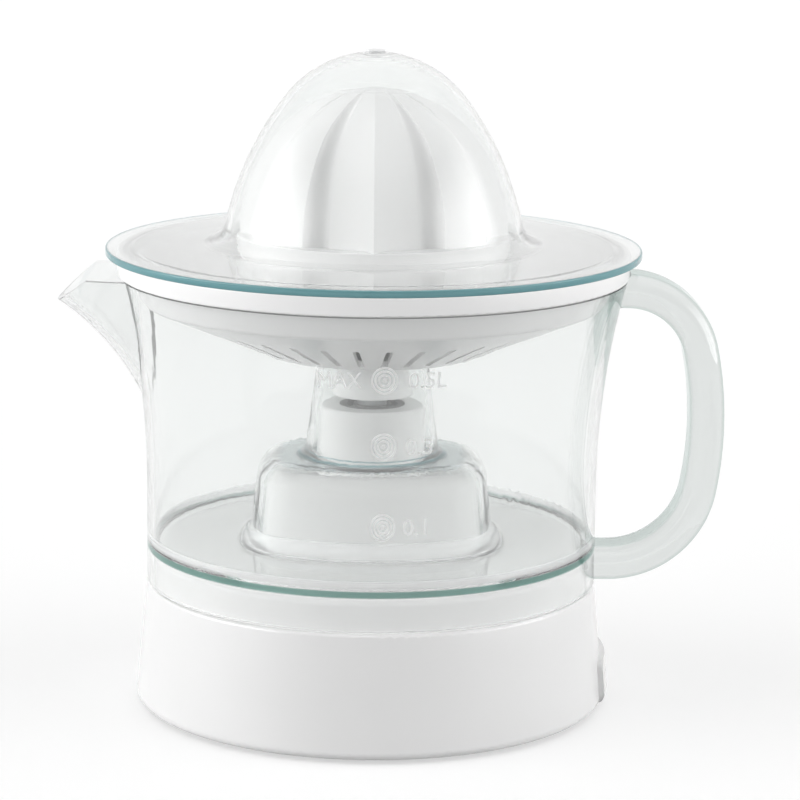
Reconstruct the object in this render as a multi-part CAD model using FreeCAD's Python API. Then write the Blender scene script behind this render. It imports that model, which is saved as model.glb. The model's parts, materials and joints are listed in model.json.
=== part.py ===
# Electric citrus press: motor base with a drive tower, clear pouring jug, strainer, fluted reamer
# and dome lid.
# Millimetres, Z up. The origin is on the drive axis at table level, the front faces -Y,
# the spout points to -X and the handle to +X.
import os
from math import acos, atan2, cos, degrees, pi, radians, sin, sqrt, tan

import FreeCAD
import Part

V = FreeCAD.Vector
UP = V(0, 0, 1)
CENTRE = V(0, 0, 0)

# Clearances
seat_gap = 0.4             # under and round parts that lift off each other
skirt_gap = 0.6            # between the base's shoulder and the jug's skirt
rest_gap = 0.3             # under the strainer, under the lid and over the jug's chimney
side_gap = 0.7             # between the base step and the jug skirt
tunnel_gap = 0.85          # between the tower and the jug's tunnel
running_gap = 0.05         # radial play of shafts and pins in their bushes
mesh_gap = 0.06            # play cut from each gear flank
air_gap = 0.7              # between rotor magnet and stator bore
socket_gap = 0.15          # between the shaft's hexagon and the reamer's socket
press_travel = 2.2         # downward stroke of the drive shaft that starts the motor
press_room = 0.5           # spare room left after that stroke
end_gap = 0.2              # between the shaft's end and the switch plunger
axial_gap = 0.4            # end play of the idler
screw_play = 0.2           # round a screw's shank in a through hole
head_play = 0.4            # round a screw's head in its cup

# Building allowances
over = 1.0                 # cuts run past the faces they open by this much
join = 0.5                 # fused pieces run into each other by this much
full_round_margin = 0.05   # kept off a half width when a slot's end is rounded

# Base housing
base_radius = 64.9         # at the bottom corner, before it is rounded
base_taper = 0.092         # radius lost per millimetre of height
base_wall = 2.2
base_corner = 2.2
inner_corner = 0.3         # smallest rounding inside the shell
foot_height = 1.0
shoulder_height = 34.4     # top of the visible base wall
deck_height = 43.6
shoulder_round = 1.0
step_round = 2.5

# Tower on the deck and the round post on the tower
tower_half_x = 31.0        # half sizes at deck level
tower_half_y = 26.6
tower_draft = 0.105        # half size lost per millimetre of height
tower_bow_y = 50.0         # radius of the bowed front and back
tower_bow_x = 70.0         # radius of the bowed sides
tower_corner = 13.0
tower_height = 23.2
tower_round = 5.0
post_height = 16.7
post_base_radius = 14.9
post_top_radius = 14.4
post_cap = 12.0            # solid length at the top of the post, bored for bush and seal
post_round = 1.0
post_bore = 12.2

# Jug
jug_wall = 2.0
jug_floor = 2.2
jug_depth = 72.8           # floor to rim
jug_straight = 15.8        # straight wall above the floor, before it flares
jug_flare = 7.3            # growth of the radius from there to the rim
tunnel_wall = 1.9
chimney_taper = 0.128      # radius lost per millimetre on the jug's central chimney
chimney_foot_radius = 18.5
chimney_fillet = 3.0
chimney_round = 0.8
tunnel_foot_fillet = 4.0
jug_floor_round = 2.0

# Spout: the lower half of a bent tube, cut off level with the rim and then sloping to its tip
spout_radius = 20.0
spout_root_x = -65.1       # keel line on the jug's wall
spout_root_drop = 29.8     # below the rim
spout_tip_x = -86.0
spout_tip_drop = 7.4
spout_sag = 1.9            # rise of the keel above its chord
spout_level_x = -77.0      # where the lip leaves the level of the rim
spout_sweep = 140.0        # angle over which the tube is bent

# Handle: a flat bar bent to a D, all in the X-Z plane
handle_thick = 9.4
handle_width = 17.0
handle_round = 4.2
handle_reach = 91.6        # centre line at its furthest
handle_top_drop = 3.3      # centre line below the rim
handle_top_bend = 20.6
handle_low_rise = 4.8      # centre line above the skirt's lower edge
handle_low_bend = 25.2
handle_bow = 100.0
handle_bow_height = 43.6   # centre of the bow above the skirt's lower edge

# Strainer
strainer_overhang = 0.4    # rim band beyond the jug's rim
strainer_band = 5.2
strainer_wall = 1.8
strainer_neck = 6.6        # depth of the steep upper wall below the jug's rim
strainer_neck_in = 4.0     # how far that wall leans inwards
strainer_depth = 20.6      # bowl bottom below the jug's rim
strainer_floor_radius = 30.0
strainer_hub_radius = 12.0
strainer_hub_height = 12.5
strainer_plug_gap = 0.6    # between the jug's wall and the strainer
band_draft = 0.6
band_round = 0.6
seat_round = 1.0
bowl_round = 3.0
hub_round = 1.5
slot_count = 36
slot_width = 1.7
slot_start = 33.0          # slots run over this range of radius
slot_end = 50.0

# Lid
lid_overhang = 3.7         # flange beyond the jug's rim
lid_wall = 1.8
lid_edge = 2.0
lid_rise = 1.2             # flange rises this much towards the dome
dome_radius = 42.2         # at the middle level of the bowed side
dome_top = 52.7            # above the flange's top edge
dome_crown = 30.7          # radius of the rounded crown
dome_side = 85.0           # radius of the bowed side
dome_fillet = 6.0
lid_ring_depth = 2.6       # locating ring inside the strainer's band
lid_ring_gap = 0.5
gate_radius = 2.6
gate_height = 0.5

# Reamer
reamer_side_gap = 3.8      # crest to the inside of the dome
reamer_tip_gap = 7.8       # tip to the inside of the dome
reamer_ribs = 4            # sharp ribs, with one rounded lobe between each two
rib_half_angle = 22.0      # from a crest to the foot of its face
rib_drop = 0.15            # foot of a rib face below its crest, as a share of the crest's radius
rib_hollow = 0.012         # hollow of a rib face, likewise
lobe_half_angle = 13.0     # from the middle of a lobe to its edge
lobe_drop = 0.045          # edge of a lobe below the crest, likewise
lobe_bow = 0.03            # middle of a lobe beyond the circle through its edges, likewise
flute_depth = 0.06         # bottom of a flute below the line from rib to lobe, likewise
lobe_full = 0.50           # share of the crest's sweep up to which a lobe keeps its height
lobe_end = 0.80            # share of the sweep at which a lobe has sunk into the flutes
reamer_levels = 12
reamer_point = 0.8         # radius of the blunt tip
reamer_ring_height = 23.6  # plain ring below the ribs
reamer_ring_proud = 0.6    # ring beyond the crests
reamer_floor_gap = 6.4     # ring above the strainer's bowl bottom
reamer_wall = 2.4
socket_wall = 3.2
socket_start = 0.8         # socket's mouth above the foot of the hexagon
web_thick = 1.6
web_drop = 8.0
web_count = 3

# Drive train
shaft_radius = 4.0
hex_flats = 6.8
hex_length = 20.0
hex_above_hub = 11.5       # shaft's end above the strainer's hub
hex_chamfer = 0.6
shaft_chamfer = 0.5
collar_gap = 1.6           # between the splash collar and the jug's chimney
collar_drop = 1.0          # collar's top below the chimney's
collar_edge = 3.0          # upright edge of the collar
collar_slope = 3.2         # radius lost above that edge
collar_round = 0.6
pressure = radians(20)
pinion_teeth = 12
wheel_teeth = 60           # on the idler
output_teeth = 72
fast_module = 0.6          # rotor pinion and idler wheel
slow_module = 0.8          # idler pinion and output gear
pinion_shift = 0.35        # profile shift that keeps small pinions from undercutting
tip_cut = 0.12             # of the module, taken off each tooth tip
root_depth = 1.25          # of the module, from the pitch circle to the root
output_face = 6.5
output_rim = 5.0           # rim of the output gear inside its pitch circle
output_hub_wall = 3.0
output_hub_below = 2.0     # gear above the shaft's end
output_holes = 6
output_hole_radius = 5.0
wheel_face = 4.5
wheel_web = 2.7            # what is left of the idler wheel's face between hub and rim
wheel_rim = 3.5
wheel_hub_wall = 3.5
sleeve_wall = 2.0
pinion_below = 0.3         # rotor pinion beyond the idler wheel, below and above
pinion_above = 0.8
rotor_offset = 12.5        # rotor axis from the drive axis, towards -X
idler_pin_radius = 2.0
rotor_shaft_radius = 1.5
plunger_rest = 12.3        # top of the switch plunger, under the shaft's end
gear_step = 1.5            # vertical gap between the two gear levels
plate_height = 30.0        # underside of the gear plate
plate_thick = 1.5
plate_radius = 44.0
plate_screw_circle = 38.0
plate_screw_start = -90.0
plate_screws = 3
plate_screw_bite = 8.0
plate_hole_radius = 7.0
plate_hole_circle = 32.0
plate_hole_turn = 32.0     # from the first plate screw
plate_holes = 2
bush_wall = 2.5
bush_flange = 1.5
bush_length = 8.0
bush_below = 2.5           # lower bush below the gear plate
flange_width = 1.3
rotor_bush_wall = 2.1
rotor_bush_proud = 0.5     # beyond both faces of its plate
seal_radius = 9.0
seal_length = 2.3
seal_wall = 2.0
seal_floor = 0.9
lip_wall = 1.2
lip_gap = 0.1

# Motor
stack_bottom = 38.0
stack_height = 18.0
magnet_radius = 6.0
magnet_proud = 0.5         # beyond both ends of the stack
rotor_shaft_proud = 0.6    # beyond pinion and bush
leg_inner = 9.2            # stator leg, distance from the X axis
leg_width = 6.3
shoe_end = -22.0
shoe_start = -6.0
shoe_slot = 2.5            # half gap between the two pole shoes
yoke_start = 14.5
yoke_end = 21.5
core_chamfer = 4.0
bobbin_wall = 0.7
bobbin_play = 0.1
bobbin_rim = 1.0
bobbin_round = 1.5
shoe_gap = 0.8             # bobbin to pole shoe
yoke_gap = 0.2             # bobbin to yoke
winding_build = 2.3
winding_inset = 0.3        # below the bobbin's rims
winding_round = 2.0
bridge_thick = 1.5
bridge_stand = 1.5
bridge_edge = 2.0          # metal round the rotor's upper bush
bridge_round = 2.5
stator_screw_x = -17.0
stator_screw_y = 12.2
stator_screw_radius = 1.45
spacer_radius = 3.1

# Return spring round the shaft
spring_radius = 5.2
spring_wire = 0.45
spring_turns = 4
spring_length = 13.0
spring_gap = 0.1           # at both ends of the spring
clip_thick = 1.0
clip_radius = 5.9

# Switch
switch_angle = -6.0
switch_start = 33.6
switch_long = 19.8
switch_wide = 6.4
switch_tall = 10.2
switch_round = 0.6
button_at = 4.6            # from the inner end of the switch
button_size = 2.6
button_depth = 2.6         # below the top of the switch
button_gap = 0.1
tag_length = 3.6
tag_width = 3.2
tag_thick = 0.6
tag_low = 2.4              # lower tag above the foot of the switch
tag_pitch = 4.6
arm_gap = 0.6              # between the plunger's arm and the switch
arm_width = 5.0
arm_thick = 2.2
plunger_radius = 5.6
stem_radius = 3.95
guide_wall = 2.0
cradle_half = 6.0          # walls that hold the switch on the cover
cradle_wall = 1.5
cradle_height = 6.0
cradle_gap = 0.1

# Bottom cover, feet and screws
cover_thick = 2.0
cover_gap = 0.6
cover_screw_circle = 52.0
cover_screw_start = 22.0
cover_screws = 4
cover_screw_radius = 1.5
screw_head_radius = 3.1
screw_head_height = 1.8
boss_radius = 4.0
pin_boss_wall = 1.3
cup_wall = 1.6
cup_height = 3.8
screw_bite = 12.0
foot_radius = 6.0
foot_circle = 48.0
foot_stem_radius = 2.0
foot_stem_proud = 0.6
foot_round = 0.5
vent_count = 9
vent_pitch = 6.0
vent_width = 2.4
vent_length = 14.0
vent_offset = 30.0

# Cord outlet pad in the base wall, below the handle
pad_half_angle = 12.0
pad_proud = 1.5
pad_top = 14.0
pad_round = 3.0
pad_edge = 0.5             # above the base's lower edge
inlet_radius = 3.4
inlet_height = 7.6

# Levels and radii that follow from the sizes above
cover_top = foot_height + cover_thick
cup_top = foot_height + cup_height
head_seat = cup_top - cover_thick
shoulder_radius = base_radius - base_taper * (shoulder_height - foot_height)
skirt_radius = shoulder_radius
skirt_bottom = shoulder_height + skirt_gap
step_radius = skirt_radius - jug_wall - side_gap
deck_under = deck_height - base_wall
tower_top = deck_height + tower_height
tunnel_top = tower_top + tunnel_gap + tunnel_wall
post_top = tower_top + post_height
floor_under = deck_height + seat_gap
floor_top = floor_under + jug_floor
rim = floor_top + jug_depth
flare_start = floor_top + jug_straight
rim_radius = skirt_radius + jug_flare
strainer_seat = rim + rest_gap
strainer_bottom = rim - strainer_depth
lid_seat = strainer_seat + strainer_band + rest_gap
lid_top_edge = lid_seat + lid_edge
crown_top = lid_top_edge + dome_top
chimney_top = strainer_bottom - rest_gap
reamer_bottom = strainer_bottom + strainer_wall + reamer_floor_gap
ring_top = reamer_bottom + reamer_ring_height
reamer_tip = crown_top - lid_wall - reamer_tip_gap
reamer_radius = dome_radius - lid_wall - reamer_side_gap
plunger_under = plunger_rest - arm_thick
shaft_bottom = plunger_rest + end_gap
hub_top = strainer_bottom + strainer_wall + strainer_hub_height
shaft_top = hub_top + hex_above_hub
hex_start = shaft_top - hex_length
output_bottom = shaft_bottom + output_hub_below
output_top = output_bottom + output_face
wheel_bottom = output_top + gear_step
wheel_top = wheel_bottom + wheel_face
idler_bottom = output_bottom - press_travel - press_room
plate_top = plate_height + plate_thick
stack_top = stack_bottom + stack_height
bridge_bottom = stack_top + bridge_stand
bridge_top = bridge_bottom + bridge_thick
rotor_bush_radius = rotor_shaft_radius + rotor_bush_wall
bush_top = post_top - seal_length
spring_bottom = plate_top + bush_flange + spring_wire + spring_gap
clip_bottom = spring_bottom + spring_length + spring_wire + spring_gap
slow_distance = slow_module * (pinion_teeth + output_teeth) / 2
fast_distance = fast_module * (pinion_teeth + wheel_teeth) / 2
socket_radius = hex_flats / 2 / cos(pi / 6) + socket_wall
rotor_at = V(-rotor_offset, 0, 0)
stator_places = [V(stator_screw_x, stator_screw_y, 0), V(stator_screw_x, -stator_screw_y, 0),
                 V((yoke_start + yoke_end) / 2, 0, 0)]


# Building helpers

def save(name, *solids):
    shape = solids[0] if len(solids) == 1 else Part.makeCompound(list(solids))
    shape.exportStep(os.path.join("parts", name + ".step"))
    print(name, len(shape.Solids), "solid(s),", round(shape.Volume / 1000, 2), "cm3,", shape.isValid())


def tube(outer, inner, bottom, top, at=CENTRE):
    ring = disc(outer, bottom, top, at)
    return ring.cut(disc(inner, bottom - over, top + over, at))


def disc(radius, bottom, top, at=CENTRE):
    return Part.makeCylinder(radius, top - bottom, V(at.x, at.y, bottom), UP)


def cone(low_radius, high_radius, bottom, top):
    return Part.makeCone(low_radius, high_radius, top - bottom, V(0, 0, bottom), UP)


def box(x0, x1, y0, y1, z0, z1):
    return Part.makeBox(x1 - x0, y1 - y0, z1 - z0, V(x0, y0, z0))


def through(radius, bottom, top, at=CENTRE):
    return disc(radius, bottom - over, top + over, at)


def bar(x0, x1, width, z0, z1):
    return box(x0, x1, -width / 2, width / 2, z0, z1)


def upright_edges(shape):
    return [e for e in shape.Edges if e.BoundBox.ZLength > max(e.BoundBox.XLength, e.BoundBox.YLength)]


def round_about(radius, count, start):
    angles = [radians(start + 360.0 * i / count) for i in range(count)]
    return [V(radius * cos(a), radius * sin(a), 0) for a in angles]


def hexagon_face(corner, height):
    points = [V(corner * cos(pi * i / 3), corner * sin(pi * i / 3), height) for i in range(7)]
    return Part.Face(Part.makePolygon(points))


def turned_to(shape, angle):
    copy = shape.copy()
    copy.rotate(CENTRE, UP, angle)
    return copy


def mirrored_y(shape):
    return shape.mirror(CENTRE, V(0, 1, 0))


def rounded_face(corners, plane=lambda u, v: V(u, 0, v)):
    # Closed face from corners (u, v) or (u, v, radius), every given radius drawn as a tangent arc.
    points = [plane(c[0], c[1]) for c in corners]
    bends = []
    for i, corner in enumerate(corners):
        here = points[i]
        if len(corner) < 3:
            bends.append((here, None, here))
            continue
        back = (points[i - 1] - here).normalize()
        ahead = (points[(i + 1) % len(points)] - here).normalize()
        half = back.getAngle(ahead) / 2
        inward = (back + ahead).normalize()
        reach = corner[2] / tan(half)
        middle = here + inward * (corner[2] / sin(half) - corner[2])
        bends.append((here + back * reach, middle, here + ahead * reach))
    edges = []
    for i, (start, middle, end) in enumerate(bends):
        last = bends[i - 1][2]
        if last.distanceToPoint(start) > 1e-6:
            edges.append(Part.LineSegment(last, start).toShape())
        if middle:
            edges.append(Part.Arc(start, middle, end).toShape())
    return Part.Face(Part.Wire(edges))


def path_face(start, steps):
    # Closed face in the X-Z plane; a step is (x, z) for a line or (xm, zm, x, z) for an arc.
    here = V(start[0], 0, start[1])
    first = here
    edges = []
    for step in steps:
        there = V(step[-2], 0, step[-1])
        if len(step) == 2:
            edges.append(Part.LineSegment(here, there).toShape())
        else:
            edges.append(Part.Arc(here, V(step[0], 0, step[1]), there).toShape())
        here = there
    edges.append(Part.LineSegment(here, first).toShape())
    return Part.Face(Part.Wire(edges))


def spun(face, angle=360):
    return face.revolve(CENTRE, UP, angle)


def circles_meet(a, ra, b, rb):
    # The point left of the line from a to b that is ra from a and rb from b.
    span = b - a
    reach = span.Length
    along = (ra * ra - rb * rb + reach * reach) / (2 * reach)
    off = sqrt(ra * ra - along * along)
    span.normalize()
    return a + span * along + V(-span.y, span.x, 0) * off


def edges_at(shape, height, low=0.0, high=1e9):
    # Edges lying in the plane z = height whose every vertex is between two radii from the axis.
    found = []
    for edge in shape.Edges:
        ends = [v.Point for v in edge.Vertexes]
        box_z = edge.BoundBox
        if abs(box_z.ZMin - height) > 1e-4 or abs(box_z.ZMax - height) > 1e-4:
            continue
        if all(low < sqrt(p.x * p.x + p.y * p.y) < high for p in ends):
            found.append(edge)
    return found


# Places that several pieces share

idler_at = circles_meet(rotor_at, fast_distance, CENTRE, slow_distance)
cover_screw_places = round_about(cover_screw_circle, cover_screws, cover_screw_start)
foot_places = round_about(foot_circle, cover_screws, cover_screw_start + 180 / cover_screws)
plate_screw_places = round_about(plate_screw_circle, plate_screws, plate_screw_start)


# Tower form, shared by the base's tower and the jug's tunnel over it

def tower_section(grow, height):
    shrink = tower_draft * (height - deck_height)
    half_x = tower_half_x + grow - shrink
    half_y = tower_half_y + grow - shrink
    bow_y = tower_bow_y + grow
    bow_x = tower_bow_x + grow
    corner = tower_corner + grow
    front = V(0, bow_y - half_y, 0)
    side = V(half_x - bow_x, 0, 0)
    pin = circles_meet(front, bow_y - corner, side, bow_x - corner)
    if pin.x < 0 or pin.y > 0:
        pin = circles_meet(side, bow_x - corner, front, bow_y - corner)
    on_front = front + (pin - front).normalize() * bow_y
    on_side = side + (pin - side).normalize() * bow_x
    between = ((on_front - pin).normalize() + (on_side - pin).normalize()).normalize()
    on_corner = pin + between * corner
    quarter = [on_front, on_corner, on_side]
    edges = []
    flips = [(1, 1), (1, -1), (-1, -1), (-1, 1)]
    rows = []
    for sx, sy in flips:
        row = [V(p.x * sx, p.y * sy, 0) for p in quarter]
        rows.append(row if sx * sy > 0 else row[::-1])
    mids = [V(half_x, 0, 0), V(0, half_y, 0), V(-half_x, 0, 0), V(0, -half_y, 0)]
    for i, row in enumerate(rows):
        edges.append(Part.Arc(row[0], row[1], row[2]).toShape())
        edges.append(Part.Arc(row[2], mids[i], rows[(i + 1) % 4][0]).toShape())
    wire = Part.Wire(edges)
    wire.translate(V(0, 0, height))
    return wire


def tower_form(grow, bottom, top, top_round):
    form = Part.makeLoft([tower_section(grow, bottom), tower_section(grow, top)], True, True)
    if top_round:
        form = form.makeFillet(top_round, edges_at(form, top))
    return form


# Base housing

def base_profile(inset, bottom, top):
    low_radius = base_radius - inset
    high_radius = shoulder_radius - inset
    return [
        (0, bottom),
        (low_radius, bottom, max(base_corner - inset, inner_corner)),
        (high_radius, shoulder_height - inset, shoulder_round),
        (step_radius - inset, shoulder_height - inset, shoulder_round / 2),
        (step_radius - inset, top, step_round - inset / 2),
        (0, top),
    ]


def cord_pad():
    half = base_radius * sin(radians(pad_half_angle))
    low = foot_height + pad_edge
    face = rounded_face([
        (-half, low, pad_round),
        (half, low, pad_round),
        (half, pad_top, pad_round),
        (-half, pad_top, pad_round),
    ], lambda u, v: V(base_radius - 2 * base_wall, u, v))
    block = face.extrude(V(2 * base_wall + 2 * pad_proud, 0, 0))
    return block.common(spun(rounded_face(base_profile(-pad_proud, foot_height, deck_height))))


def base_housing():
    outer = spun(rounded_face(base_profile(0, foot_height, deck_height)))
    inner = spun(rounded_face(base_profile(base_wall, foot_height - over, deck_under)))
    tower = tower_form(0, deck_under, tower_top, tower_round)
    hollow = tower_form(-base_wall, deck_under - base_wall, tower_top - base_wall, tower_round - base_wall)
    post = cone(post_base_radius, post_top_radius, tower_top - base_wall, post_top)
    post = post.makeFillet(post_round, edges_at(post, post_top))
    shell = outer.fuse([tower, post, cord_pad()]).cut([inner, hollow])
    bosses = [disc(boss_radius, cup_top, deck_under + join, p) for p in cover_screw_places]
    bosses += [disc(boss_radius, plate_top, deck_under + join, p) for p in plate_screw_places]
    shell = shell.fuse(bosses)
    cap_low = post_top - post_cap
    inlet_depth = 3 * base_wall
    bores = [
        disc(post_bore, tower_top - base_wall - over, cap_low),
        through(shaft_radius + bush_wall / 2, cap_low, post_top),
        disc(shaft_radius + bush_wall, bush_top - bush_length, post_top + over),
        disc(seal_radius, bush_top, post_top + over),
        Part.makeCylinder(inlet_radius, inlet_depth + 2 * pad_proud,
                          V(base_radius - inlet_depth, 0, inlet_height), V(1, 0, 0)),
    ]
    bores += [through(cover_screw_radius, cup_top, cup_top + screw_bite, p) for p in cover_screw_places]
    bores += [disc(cover_screw_radius, plate_top - over, plate_top + plate_screw_bite + over, p)
              for p in plate_screw_places]
    save("base_housing", shell.cut(bores).removeSplitter())


def screw(at, under_head, length, radius=cover_screw_radius, upwards=True):
    # Pan-head screw; the head is below under_head when the screw points up.
    way = 1 if upwards else -1
    head = Part.makeCylinder(screw_head_radius, screw_head_height, V(at.x, at.y, under_head), UP * -way)
    rim_edges = [e for e in head.Edges if abs(e.BoundBox.ZMax - under_head) > screw_head_height / 2
                 and e.BoundBox.ZLength < 1e-6]
    head = head.makeFillet(screw_head_height / 2, rim_edges)
    shank = Part.makeCylinder(radius, length, V(at.x, at.y, under_head), UP * way)
    return head.fuse(shank).removeSplitter()


def vent_slots():
    slots = []
    for side in (1, -1):
        for i in range(vent_count):
            x = (i - (vent_count - 1) / 2) * vent_pitch
            half = vent_width / 2
            slot = bar(x - half, x + half, vent_length, foot_height - over, cover_top + over)
            slot = slot.makeFillet(half - full_round_margin, upright_edges(slot))
            slots.append(slot.translated(V(0, side * vent_offset, 0)))
    return slots


def bottom_cover():
    radius = base_radius - base_wall - cover_gap - base_taper * cover_thick
    low = cover_top - join
    cup_radius = screw_head_radius + head_play
    cups = [disc(cup_radius + cup_wall, low, cup_top, p) for p in cover_screw_places]
    guide = disc(stem_radius + running_gap + guide_wall, low, plunger_under - press_travel - press_room)
    pin_boss = disc(idler_pin_radius + pin_boss_wall, low, idler_bottom - axial_gap, idler_at)
    cradle_x = switch_start + switch_long / 2
    wall_y = switch_wide / 2 + cradle_gap
    cradle = box(cradle_x - cradle_half, cradle_x + cradle_half, wall_y, wall_y + cradle_wall,
                 low, cover_top + cradle_height)
    cradles = [turned_to(c, switch_angle) for c in (cradle, mirrored_y(cradle))]
    plate = disc(radius, foot_height, cover_top).fuse(cups + [guide, pin_boss] + cradles)
    cuts = [disc(cup_radius, foot_height - over, head_seat, p) for p in cover_screw_places]
    cuts += [through(cover_screw_radius + screw_play, foot_height, cup_top, p) for p in cover_screw_places]
    cuts += [through(foot_stem_radius, foot_height, cover_top, p) for p in foot_places]
    cuts.append(disc(stem_radius + running_gap, cover_top, plunger_rest))
    cuts.append(disc(idler_pin_radius, cover_top, idler_bottom, idler_at))
    save("bottom_cover", plate.cut(cuts + vent_slots()).removeSplitter())
    save("cover_screws", *[screw(p, head_seat, cover_thick + screw_bite) for p in cover_screw_places])


def rubber_feet():
    feet = []
    for p in foot_places:
        pad = disc(foot_radius, 0, foot_height, p)
        pad = pad.makeFillet(foot_round, edges_at(pad, 0))
        stem = disc(foot_stem_radius, foot_height, cover_top + foot_stem_proud, p)
        feet.append(pad.fuse(stem).removeSplitter())
    save("rubber_feet", *feet)


# Gears

def gear_blank(teeth, module, shift, phase, bottom, top, at):
    # Involute spur gear; each flank is one arc through three involute points.
    pitch = module * teeth / 2
    root_circle = pitch * cos(pressure)
    tip = pitch + module * (1 + shift - tip_cut)
    root = pitch - module * (root_depth - shift)
    start = max(root, root_circle)
    half_pitch_angle = (pi / 2 + 2 * shift * tan(pressure)) / teeth - mesh_gap / pitch

    def involute(angle):
        return tan(angle) - angle

    def flank_angle(radius):
        return half_pitch_angle + involute(pressure) - involute(acos(min(1, root_circle / radius)))

    def point(radius, angle):
        return V(at.x + radius * cos(angle), at.y + radius * sin(angle), bottom)

    edges = []
    first = None
    for i in range(teeth):
        middle = phase + 2 * pi * i / teeth
        radii = (start, (start + tip) / 2, tip)
        rise = [point(r, middle - flank_angle(r)) for r in radii]
        fall = [point(r, middle + flank_angle(r)) for r in reversed(radii)]
        foot_in = point(root, middle - flank_angle(start))
        foot_out = point(root, middle + flank_angle(start))
        if first is None:
            first = foot_in
        else:
            edges.append(Part.LineSegment(last, foot_in).toShape())
        if start > root:
            edges.append(Part.LineSegment(foot_in, rise[0]).toShape())
        edges.append(Part.Arc(*rise).toShape())
        edges.append(Part.LineSegment(rise[2], fall[0]).toShape())
        edges.append(Part.Arc(*fall).toShape())
        if start > root:
            edges.append(Part.LineSegment(fall[2], foot_out).toShape())
        last = foot_out
    edges.append(Part.LineSegment(last, first).toShape())
    return Part.Face(Part.Wire(edges)).extrude(UP * (top - bottom))


def bearing_of(a, b):
    return atan2(b.y - a.y, b.x - a.x)


def gear_train():
    to_idler = bearing_of(CENTRE, idler_at)
    to_rotor = bearing_of(idler_at, rotor_at)
    half_pinion = pi / pinion_teeth
    out = gear_blank(output_teeth, slow_module, -pinion_shift, to_idler, output_bottom, output_top, CENTRE)
    rim_inside = slow_module * output_teeth / 2 - output_rim
    hub = shaft_radius + output_hub_wall
    recess = tube(rim_inside, hub, output_bottom + output_face / 2, output_top + over)
    holes = [through(output_hole_radius, output_bottom, output_top, p)
             for p in round_about((rim_inside + hub) / 2, output_holes, 180.0 / output_holes)]
    out = out.fuse(disc(hub, shaft_bottom + shaft_chamfer, wheel_bottom)).cut([recess] + holes)
    save("output_gear", out.cut(disc(shaft_radius, 0, plate_height)).removeSplitter())

    pinion = gear_blank(pinion_teeth, slow_module, pinion_shift, to_idler + pi + half_pinion,
                        idler_bottom, wheel_bottom, idler_at)
    wheel = gear_blank(wheel_teeth, fast_module, -pinion_shift, to_rotor, wheel_bottom, wheel_top, idler_at)
    groove = tube(fast_module * wheel_teeth / 2 - wheel_rim, idler_pin_radius + wheel_hub_wall,
                  wheel_bottom + wheel_web, wheel_top + over, idler_at)
    sleeve = disc(idler_pin_radius + sleeve_wall, wheel_bottom, plate_height - axial_gap, idler_at)
    bore = disc(idler_pin_radius + running_gap, 0, plate_top, idler_at)
    save("idler_gear", pinion.fuse([wheel]).cut(groove).fuse(sleeve).cut(bore).removeSplitter())
    save("idler_pin", disc(idler_pin_radius, cover_top, plate_top, idler_at))

    drive = gear_blank(pinion_teeth, fast_module, pinion_shift, to_rotor + pi + half_pinion,
                       wheel_bottom - pinion_below, wheel_top + pinion_above, rotor_at)
    save("rotor_pinion", drive.cut(disc(rotor_shaft_radius, 0, plate_top, rotor_at)))


def gear_plate():
    holes = [(shaft_radius + bush_wall, CENTRE), (rotor_bush_radius, rotor_at)]
    holes += [(idler_pin_radius, idler_at)]
    holes += [(cover_screw_radius + screw_play, p) for p in plate_screw_places]
    holes += [(stator_screw_radius, p) for p in stator_places]
    holes += [(plate_hole_radius, p) for p in round_about(
        plate_hole_circle, plate_screws, plate_screw_start + plate_hole_turn)[:plate_holes]]
    plate = disc(plate_radius, plate_height, plate_top)
    save("gear_plate", plate.cut([through(r, plate_height, plate_top, p) for r, p in holes]))
    screws = [screw(p, plate_height, plate_thick + plate_screw_bite) for p in plate_screw_places]
    save("plate_screws", *screws)


def bushes():
    outer = shaft_radius + bush_wall
    lower = disc(outer, plate_height - bush_below, plate_top)
    lower = lower.fuse(disc(outer + flange_width, plate_top, plate_top + bush_flange))
    upper = disc(outer, bush_top - bush_length, bush_top)
    bore = disc(shaft_radius + running_gap, 0, post_top)
    save("shaft_bushes", lower.cut(bore).removeSplitter(), upper.cut(bore))
    rotor_bore = disc(rotor_shaft_radius + running_gap, 0, post_top, rotor_at)
    pair = [disc(rotor_bush_radius, low - rotor_bush_proud, high + rotor_bush_proud, rotor_at)
            for low, high in ((plate_height, plate_top), (bridge_bottom, bridge_top))]
    save("rotor_bushes", *[bush.cut(rotor_bore) for bush in pair])
    body = disc(seal_radius, bush_top, post_top)
    groove = tube(seal_radius - seal_wall, shaft_radius + lip_wall, bush_top + seal_floor, post_top + over)
    save("shaft_seal", body.cut([groove, through(shaft_radius + lip_gap, bush_top, post_top)]))


def drive_shaft():
    rod = disc(shaft_radius, shaft_bottom, hex_start)
    head = hexagon_face(hex_flats / 2 / cos(pi / 6), hex_start).extrude(UP * hex_length)
    head = head.makeChamfer(hex_chamfer, edges_at(head, shaft_top))
    rod = rod.makeChamfer(shaft_chamfer, edges_at(rod, shaft_bottom))
    save("drive_shaft", rod.fuse(head).removeSplitter())
    collar_low = post_top + press_travel + press_room
    collar_high = chimney_top - collar_drop
    collar_radius = chimney_radius(chimney_top, jug_wall) - collar_gap
    save("splash_collar", spun(rounded_face([
        (shaft_radius, collar_low),
        (collar_radius, collar_low, collar_round),
        (collar_radius, collar_low + collar_edge, collar_round),
        (collar_radius - collar_slope, collar_high, collar_round),
        (shaft_radius, collar_high),
    ])))
    save("shaft_clip", tube(clip_radius, shaft_radius, clip_bottom, clip_bottom + clip_thick))


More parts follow.
